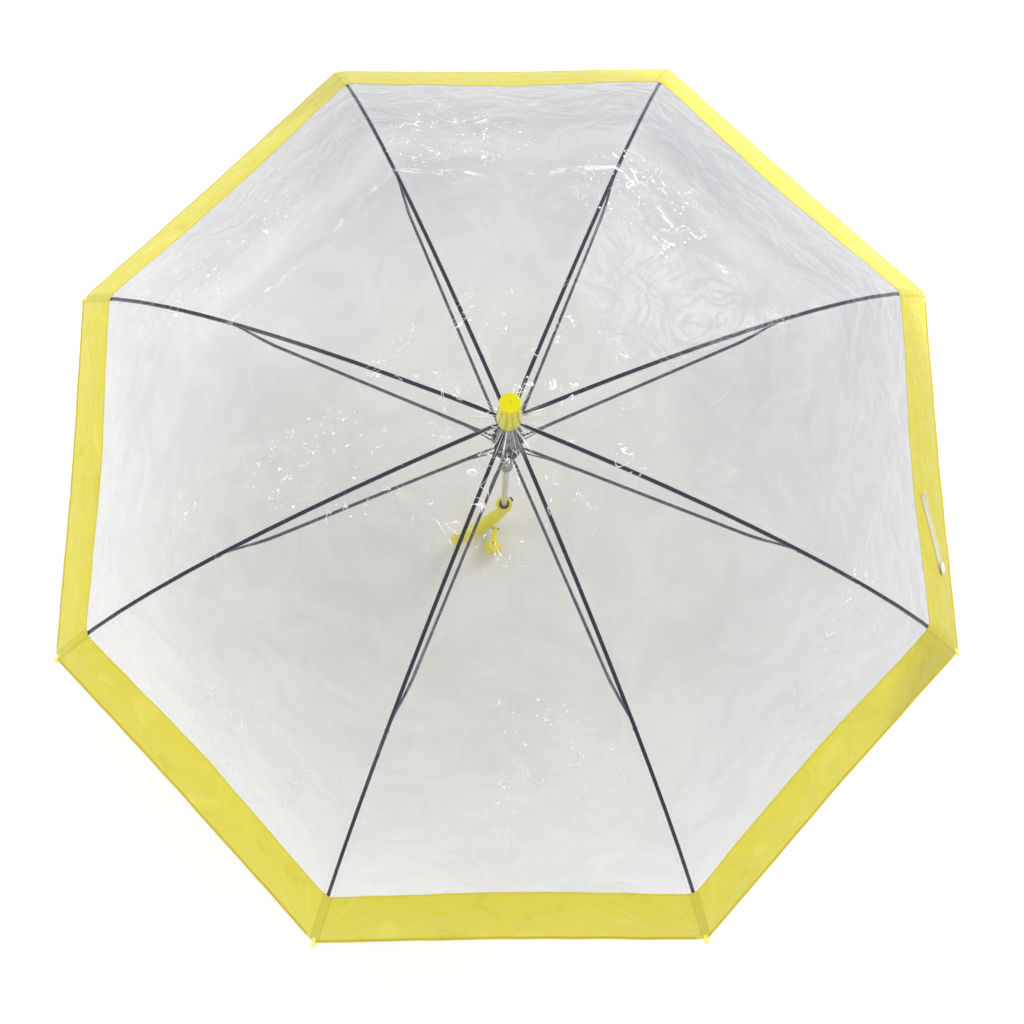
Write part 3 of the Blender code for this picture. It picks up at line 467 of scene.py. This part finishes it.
def finish_mesh(name, bm, look, smooth_faces=True, edges=()):
    """Faces point out, and the faces in edges shade apart from their neighbours."""
    bmesh.ops.recalc_face_normals(bm, faces=bm.faces)
    if edges:
        bmesh.ops.split_edges(bm, edges=list({edge for face in edges for edge in face.edges}))
    mesh = bpy.data.meshes.new(name)
    bm.to_mesh(mesh)
    bm.free()
    for face in mesh.polygons:
        face.use_smooth = smooth_faces
    mesh.materials.append(look)
    obj = bpy.data.objects.new(name, mesh)
    bpy.context.scene.collection.objects.link(obj)
    return obj


def grid_shell(name, outer, inner, maps, look):
    """A thin closed solid between two grids of points. maps holds each place's (gore, strip) map points."""
    bm = bmesh.new()
    gore, strip = bm.loops.layers.uv.new("gore"), bm.loops.layers.uv.new("strip")
    rows, columns = len(outer), len(outer[0])
    sides = [[[bm.verts.new(p) for p in row] for row in grid] for grid in (outer, inner)]
    places = {}
    for side in sides:
        for i in range(rows):
            for j in range(columns):
                places[side[i][j]] = maps[i][j]
        for i in range(rows - 1):
            for j in range(columns - 1):
                bm.faces.new((side[i][j], side[i][j + 1], side[i + 1][j + 1], side[i + 1][j]))
    rim = [(i, 0) for i in range(rows)]
    rim += [(rows - 1, j) for j in range(1, columns)]
    rim += [(i, columns - 1) for i in range(rows - 2, -1, -1)]
    rim += [(0, j) for j in range(columns - 2, 0, -1)]
    edges = []
    for (a, b), (c, d) in zip(rim, rim[1:] + rim[:1]):
        edges.append(bm.faces.new((sides[0][a][b], sides[0][c][d], sides[1][c][d], sides[1][a][b])))
    for face in bm.faces:
        for loop in face.loops:
            loop[gore].uv, loop[strip].uv = places[loop.vert]
    return finish_mesh(name, bm, look, edges=edges)


def panel(name, index, r_from, r_to, rows, columns, lift, thick, look):
    """The part of one rib's panel between two radii, out to the middle of the gores on both sides."""
    angle = ANGLES[index]
    across = []
    for k in range(-columns, columns + 1):
        share = abs(k) / columns
        across.append((1 if k >= 0 else -1, 0.5 * share + 0.5 * smooth(0, 1, share)))
    grids, maps = [], []
    for up in (lift + thick / 2, lift - thick / 2):
        grid = []
        for i in range(rows + 1):
            r = r_from + (r_to - r_from) * i / rows
            grid.append([skin(angle, r, side, share, up) for side, share in across])
        grids.append(grid)
    for i in range(rows + 1):
        r = r_from + (r_to - r_from) * i / rows
        wide = OVER_RIB * (r > 0.02)
        half = r * math.cos(HALF_GORE) * math.sin(HALF_GORE) - wide
        maps.append([((s * h, r / TIP_RADIUS), (s * (wide + h * half), r)) for s, h in across])
    return grid_shell(name, grids[0], grids[1], maps, look)


def loft(name, rings, look):
    bm = bmesh.new()
    loops = [[bm.verts.new(p) for p in ring] for ring in rings]
    for low, high in zip(loops, loops[1:]):
        for i in range(len(low)):
            j = (i + 1) % len(low)
            bm.faces.new((low[i], low[j], high[j], high[i]))
    ends = [bm.faces.new(loops[0]), bm.faces.new(loops[-1])]
    return finish_mesh(name, bm, look, edges=ends)


def tube(name, points, radius, look, steps=10):
    """A round bar along a list of points."""
    rings = []
    for i, p in enumerate(points):
        along = (points[min(i + 1, len(points) - 1)] - points[max(i - 1, 0)]).normalized()
        side = along.cross(Vector((0, 0, 1)) if abs(along.z) < 0.9 else Vector((1, 0, 0))).normalized()
        up = side.cross(along)
        turns = [2 * math.pi * k / steps for k in range(steps)]
        rings.append([p + (side * math.cos(a) + up * math.sin(a)) * radius for a in turns])
    return loft(name, rings, look)


def smooth_shade(obj):
    """Shades a lofted channel smooth except over its square edges."""
    obj.data.set_sharp_from_angle(angle=math.radians(35.0))


def sharpen(obj, degrees=35.0):
    """Shades a faceted CAD solid smooth, except over edges sharper than this."""
    group = bpy.data.node_groups.get("smooth_by_angle") or make_smooth_group(degrees)
    obj.modifiers.new("smooth_by_angle", "NODES").node_group = group


def make_smooth_group(degrees):
    group = bpy.data.node_groups.new("smooth_by_angle", "GeometryNodeTree")
    group.interface.new_socket("Geometry", in_out="INPUT", socket_type="NodeSocketGeometry")
    group.interface.new_socket("Geometry", in_out="OUTPUT", socket_type="NodeSocketGeometry")
    nodes, links = group.nodes, group.links
    start, end = nodes.new("NodeGroupInput"), nodes.new("NodeGroupOutput")
    merge = nodes.new("GeometryNodeMergeByDistance")
    merge.inputs["Distance"].default_value = 0.000002
    angle = nodes.new("GeometryNodeInputMeshEdgeAngle")
    small = nodes.new("FunctionNodeCompare")
    small.operation = "LESS_EQUAL"
    small.inputs[1].default_value = math.radians(degrees)
    faces = nodes.new("GeometryNodeSetShadeSmooth")
    edges = nodes.new("GeometryNodeSetShadeSmooth")
    edges.domain = "EDGE"
    links.new(start.outputs[0], merge.inputs[0])
    links.new(merge.outputs[0], faces.inputs[0])
    links.new(faces.outputs[0], edges.inputs[0])
    links.new(angle.outputs[0], small.inputs[0])
    links.new(small.outputs[0], edges.inputs[2])
    links.new(edges.outputs[0], end.inputs[0])
    return group


# ---------------------------------------------------------------- camera, light and floor


def make_camera():
    camera = bpy.data.objects.new("camera", bpy.data.cameras.new("camera"))
    bpy.context.scene.collection.objects.link(camera)
    right = Vector((0.99997, -0.00754, 0.00222))
    up = Vector((0.00695, 0.98004, 0.19867))
    back = right.cross(up)
    turn = Matrix((right, up, back)).transposed().to_4x4()
    camera.matrix_world = Matrix.Translation((-0.0103, -0.1531, 1.5073)) @ turn
    camera.data.sensor_width = 36.0
    camera.data.lens = 36.244
    camera.data.shift_x = 0.0117
    camera.data.shift_y = -0.1045
    camera.data.clip_start, camera.data.clip_end = 0.01, 50.0
    bpy.context.scene.camera = camera


def area_light(name, place, target, size, power):
    data = bpy.data.lights.new(name, "AREA")
    data.shape = "RECTANGLE"
    data.size, data.size_y = size
    data.energy = power
    light = bpy.data.objects.new(name, data)
    bpy.context.scene.collection.objects.link(light)
    light.location = place
    light.rotation_euler = (Vector(target) - Vector(place)).to_track_quat("-Z", "Y").to_euler()


def make_stage():
    bm = bmesh.new()
    bmesh.ops.create_circle(bm, cap_ends=True, segments=96, radius=9.0)
    look = Look("pale_floor")
    tone = look.mix(look.noise(1.3, 3.0), (0.90, 0.90, 0.90), (0.93, 0.93, 0.93))
    floor = finish_mesh("floor", bm, look.shade(tone, Roughness=0.6), False)
    floor.location.z = cad_low.z - 0.0005
    world = bpy.data.worlds.new("studio")
    bpy.context.scene.world = world
    world.use_nodes = True
    world.node_tree.nodes["Background"].inputs["Color"].default_value = (1.0, 1.0, 1.0, 1.0)
    world.node_tree.nodes["Background"].inputs["Strength"].default_value = 0.85
    area_light("key", (2.1, 1.9, 1.9), (0.2, 0.2, 0.45), (1.5, 1.2), 62.0)
    area_light("fill", (-2.3, 1.2, 1.8), (0, 0, 0.4), (1.5, 1.2), 22.0)
    area_light("front", (-0.6, -2.6, 1.5), (0, 0, 0.4), (1.6, 0.9), 12.0)
    bpy.context.scene.view_settings.view_transform = "Standard"


# ---------------------------------------------------------------- canopy

FILM_GRID = (120, 22)
BORDER_GRID = (26, 26)
HEM_STEPS = 22


def fold(piece, index):
    """The piece rides on its rib's body and gets a mesh of its own."""
    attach(piece, f"rib_{index + 1}")
    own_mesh(piece)


def make_hem(index):
    """The folded outer edge of the border, a flat bead along the whole panel."""
    angle = ANGLES[index]
    end = FILM_EDGE * TIP_RADIUS
    section = [(-0.0052, 0.0), (-0.0050, 0.00055), (-0.0010, 0.00062), (-0.0001, 0.0003)]
    section += [(-0.0001, -0.0003), (-0.0010, -0.00062), (-0.0050, -0.00055)]
    rings = []
    for k in range(-HEM_STEPS, HEM_STEPS + 1):
        side, share = (1 if k >= 0 else -1), abs(k) / HEM_STEPS
        rings.append([skin(angle, end + dr, side, share, lift) for dr, lift in section])
    return loft(f"hem_{index + 1}", rings, HEM_LOOK)


def make_canopy():
    edge = FILM_EDGE * TIP_RADIUS
    for index in range(RIBS):
        number = index + 1
        film = panel(
            f"film_{number}", index, FILM_HOLE_R, FILM_OUTER * TIP_RADIUS, *FILM_GRID, 0.0, FILM, FILM_LOOK
        )
        border = panel(
            f"border_{number}", index, BORDER_INNER * TIP_RADIUS, edge - HEM_OVERLAP, *BORDER_GRID,
            BORDER_LIFT, FILM, BORDER_LOOK,
        )
        hem = make_hem(index)
        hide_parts(f"canopy_panel_{number}")
        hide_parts(f"canopy_panel_{number}")
        for piece in (film, border, hem):
            fold(piece, index)


# ---------------------------------------------------------------- stretchers and links

STRUT_STEPS = 48
STRUT_START = 0.004
STRUT_PAST_PIN = 0.0026


def side_of(index):
    """Which side of its rib a stretcher lies on."""
    return -STRETCHER_SIDE if math.cos(ANGLES[index]) > 0 else STRETCHER_SIDE


def channel_ring(middle, along, across, width, height, wall):
    """A channel's outline with rounded shoulders, open below, square to the strut."""
    up = across.cross(along) * -1
    up *= math.copysign(1.0, up.z)
    w, h, cut = width / 2, height / 2, wall * 0.8
    inner = max(w - wall, w * 0.25)
    outline = [(-w, -h), (-w, h - cut), (-w + cut * 0.3, h - cut * 0.3), (-w + cut, h), (w - cut, h)]
    outline += [(w - cut * 0.3, h - cut * 0.3), (w, h - cut), (w, -h), (inner, -h), (inner, h - wall)]
    outline += [(-inner, h - wall), (-inner, -h)]
    return [middle + across * a + up * b for a, b in outline]


def make_struts():
    joint_x, joint_z = rib_point(JOINT_R, -0.0020)
    for index, angle in enumerate(ANGLES):
        turn = Matrix.Rotation(angle, 3, "Z")
        side = side_of(index)
        start = Vector((CROWN_PIVOT_X, 0, CROWN_Z))
        end = Vector((joint_x, 0, joint_z))
        along = (end - start).normalized()
        across = Vector((0, 1, 0))
        reach = (end - start).length
        rings = []
        for k in range(STRUT_STEPS + 1):
            share = k / STRUT_STEPS
            place = start + along * (STRUT_START + (reach - STRUT_START + STRUT_PAST_PIN) * share)
            place.y = side * (1 - smooth(0.80, 0.985, share))
            narrow = smooth(0.84, 0.97, share)
            flat = 1 - smooth(0.010, 0.045, share)
            width = 0.0027 - 0.0011 * narrow - 0.0010 * flat
            height = 0.0028 * (1 - 0.35 * narrow)
            if k in (0, STRUT_STEPS):
                height *= 0.55
            rings.append(channel_ring(place, along, across, width, height, 0.0006))
        rings = [[turn @ p for p in ring] for ring in rings]
        strut = loft(f"strut_{index + 1}", rings, ZINC)
        smooth_shade(strut)
        pin_points = [turn @ (end + across * w) for w in (-0.0021, -0.0018, 0.0018, 0.0021)]
        pin = tube(f"rivet_{index + 1}", pin_points, 0.00085, STEEL, 12)
        eye_at = start + Vector((0, side, 0))
        eye_points = [turn @ (eye_at + across * w) for w in (-0.0008, -0.0006, 0.0006, 0.0008)]
        eye = tube(f"eye_{index + 1}", eye_points, 0.00145, ZINC, 16)
        neck_points = [turn @ (eye_at + along * d) for d in (0.0006, 0.0052)]
        neck = tube(f"neck_{index + 1}", neck_points, 0.00085, ZINC, 12)
        for piece in (strut, pin, eye, neck):
            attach(piece, f"stretcher_{index + 1}")
            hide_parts(f"stretcher_{index + 1}")
        make_link_wire(index, turn, along, side)


def make_link_wire(index, turn, along, side):
    """A bent wire from the sleeve's ring to the stretcher's side, with a small loop at each end."""
    low = Vector((LINK_PIVOT_X, 0, LINK_Z))
    high = Vector((CROWN_PIVOT_X, side, CROWN_Z)) + along * LINK_REACH
    points = []
    for k in range(25):
        share = k / 24
        p = low.lerp(high, share)
        p.y = side * smooth(0.35, 0.92, share)
        points.append(turn @ p)
    wire = tube(f"link_wire_{index + 1}", points, 0.00058, DARK_WIRE, 10)
    pieces = [wire]
    for name, middle in (("foot", low), ("head", high)):
        ends = [turn @ (middle + Vector((0, w, 0))) for w in (-0.0007, -0.0005, 0.0005, 0.0007)]
        pieces.append(tube(f"link_{name}_{index + 1}", ends, 0.0013, DARK_WIRE, 14))
    for piece in pieces:
        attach(piece, f"link_{index + 1}")
        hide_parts(f"link_{index + 1}")


# ---------------------------------------------------------------- rib tips


def make_tips():
    """Moulded caps over the ribs' ends. Each grips the corner of the border and ends in a round knob."""
    x, z = rib_point(0.960 * TIP_RADIUS, 0.0004)
    end_x, end_z = rib_point(TIP_RADIUS - 0.0010, -0.0012)
    start, end = Vector((x, 0, z)), Vector((end_x, 0, end_z))
    profile = ((0.0, 0.0012), (0.02, 0.0023), (0.07, 0.0027), (0.45, 0.0028), (0.62, 0.0025))
    profile += ((0.72, 0.0021), (0.80, 0.0022), (0.88, 0.0027), (0.93, 0.0026), (0.97, 0.0020))
    profile += ((0.995, 0.0010), (1.0, 0.0003))
    steps = 20
    along = (end - start).normalized()
    up = Vector((-along.z, 0, along.x))
    side = Vector((0, 1, 0))
    for index, angle in enumerate(ANGLES):
        turn = Matrix.Rotation(angle, 3, "Z")
        rings = []
        for share, radius in profile:
            middle = start.lerp(end, share)
            turns = [2 * math.pi * k / steps for k in range(steps)]
            spokes = [up * math.sin(a) + side * math.cos(a) for a in turns]
            rings.append([turn @ (middle + spoke * radius) for spoke in spokes])
        tip = loft(f"tip_cap_{index + 1}", rings, YELLOW_LIGHTENED_FOR_SHADE)
        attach(tip, f"rib_{index + 1}")
        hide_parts(f"rib_tip_{index + 1}")


# ---------------------------------------------------------------- closure strap

STRAP_WIDTH = 0.012


def strap_at(along, over, height):
    """A point on the strap. along runs from its root to its tail, over from its inner to its outer edge."""
    r = (0.872 + 0.052 * along) * TIP_RADIUS + (over - 0.5) * STRAP_WIDTH
    return skin(ANGLES[-1], r, 1, 0.78 - 0.42 * along, 0.0009 + height)


def strap_frame(along, height):
    """The place and turn of a round piece that lies flat on the strap."""
    middle = strap_at(along, 0.5, height)
    lengthwise = (strap_at(along + 0.04, 0.5, 0.0) - strap_at(along - 0.04, 0.5, 0.0)).normalized()
    across = strap_at(along, 1.0, 0.0) - strap_at(along, 0.0, 0.0)
    up = lengthwise.cross(across).normalized()
    up *= math.copysign(1.0, up.z)
    side = up.cross(lengthwise)
    return Matrix.Translation(middle) @ Matrix((lengthwise, side, up)).transposed().to_4x4()


def turned(name, profile, look, place, steps=40, oval=1.0):
    """A closed profile of (radius, height) points, turned about Z and set at place."""
    rings = []
    for radius, height in profile + profile[:1]:
        turns = [2 * math.pi * k / steps for k in range(steps)]
        round_it = [(radius * oval * math.cos(a), radius * math.sin(a), height) for a in turns]
        rings.append([place @ Vector(point) for point in round_it])
    bm = bmesh.new()
    loops = [[bm.verts.new(p) for p in ring] for ring in rings[:-1]]
    for low_ring, high_ring in zip(loops, loops[1:] + loops[:1]):
        for i in range(steps):
            j = (i + 1) % steps
            bm.faces.new((low_ring[i], low_ring[j], high_ring[j], high_ring[i]))
    return finish_mesh(name, bm, look)


def make_strap():
    """A clear strap with rounded ends and welded edges, its clear root loop, and a white snap."""
    edge_beads = ((-1, 0.00020), (-0.98, 0.00052), (-0.86, 0.00056), (-0.78, 0.00034), (0, 0.00030))
    edge_beads += ((0.78, 0.00034), (0.86, 0.00056), (0.98, 0.00052), (1, 0.00020))
    section = edge_beads + ((0.98, 0.0), (0, 0.0), (-0.98, 0.0))
    rings = []
    steps = 60
    for i in range(steps + 1):
        along = i / steps
        end = min(along, 1 - along) * steps / 7
        half = 0.5 * math.sqrt(max(0.02, 1 - (1 - min(1.0, end)) ** 2))
        rings.append([strap_at(along, 0.5 + over * half, height) for over, height in section])
    strap = loft("strap_band", rings, CLEAR_HARD)
    loop_profile = [(0.0042, 0.0), (0.0050, 0.0002), (0.0053, 0.0010), (0.0049, 0.0017)]
    loop_profile += [(0.0042, 0.0018), (0.0036, 0.0012), (0.0036, 0.0004)]
    loop_ring = turned("strap_loop", loop_profile, CLEAR_HARD, strap_frame(0.04, 0.0009), 40, 1.25)
    snap_profile = [(0.0009, 0.0), (0.0060, 0.0), (0.0062, 0.0005), (0.0060, 0.0010), (0.0047, 0.0012)]
    snap_profile += [(0.0043, 0.0017), (0.0035, 0.0020), (0.0022, 0.0019), (0.0016, 0.0014), (0.0009, 0.0013)]
    snap = turned("snap_button", snap_profile, WHITE, strap_frame(0.93, 0.0009), 48)
    pieces = (
        (strap, "closure_strap", "clear_plastic"),
        (loop_ring, "strap_ring", "clear_plastic"),
        (snap, "strap_snap", "white_plastic"),
    )
    for piece, node, slot in pieces:
        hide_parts(node)
        fold(piece, RIBS - 1)


# ---------------------------------------------------------------- finishes on the CAD nodes

NODE_LOOKS = {
    "shaft": SHAFT,
    "ferrule_cap": CAP_YELLOW,
    "top_notch": GREY,
    "notch_wire": STEEL,
    "film_washer": CLEAR_HARD,
    "handle": YELLOW_LIGHTENED_FOR_SHADE,
    "push_button": BUTTON,
    "button_spring": STEEL,
    "open_catch": STEEL,
    "whistle": YELLOW_LIGHTENED_FOR_SHADE,
    "whistle_eye": DARK_WIRE,
    "runner_crown": GREY,
    "crown_wire": STEEL,
    "runner_sleeve": DARK_GREY,
    "sleeve_wire": STEEL,
    "opening_spring": STEEL,
    "rib": BLACK,
}


def dress_nodes():
    for name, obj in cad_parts.items():
        look = NODE_LOOKS.get(name) or NODE_LOOKS.get(name.rstrip("0123456789").rstrip("_"))
        if look is None:
            continue
        obj.data.materials.clear()
        obj.data.materials.append(look)
        sharpen(obj)


make_stage()
make_camera()
dress_nodes()
make_canopy()
make_struts()
make_tips()
make_strap()
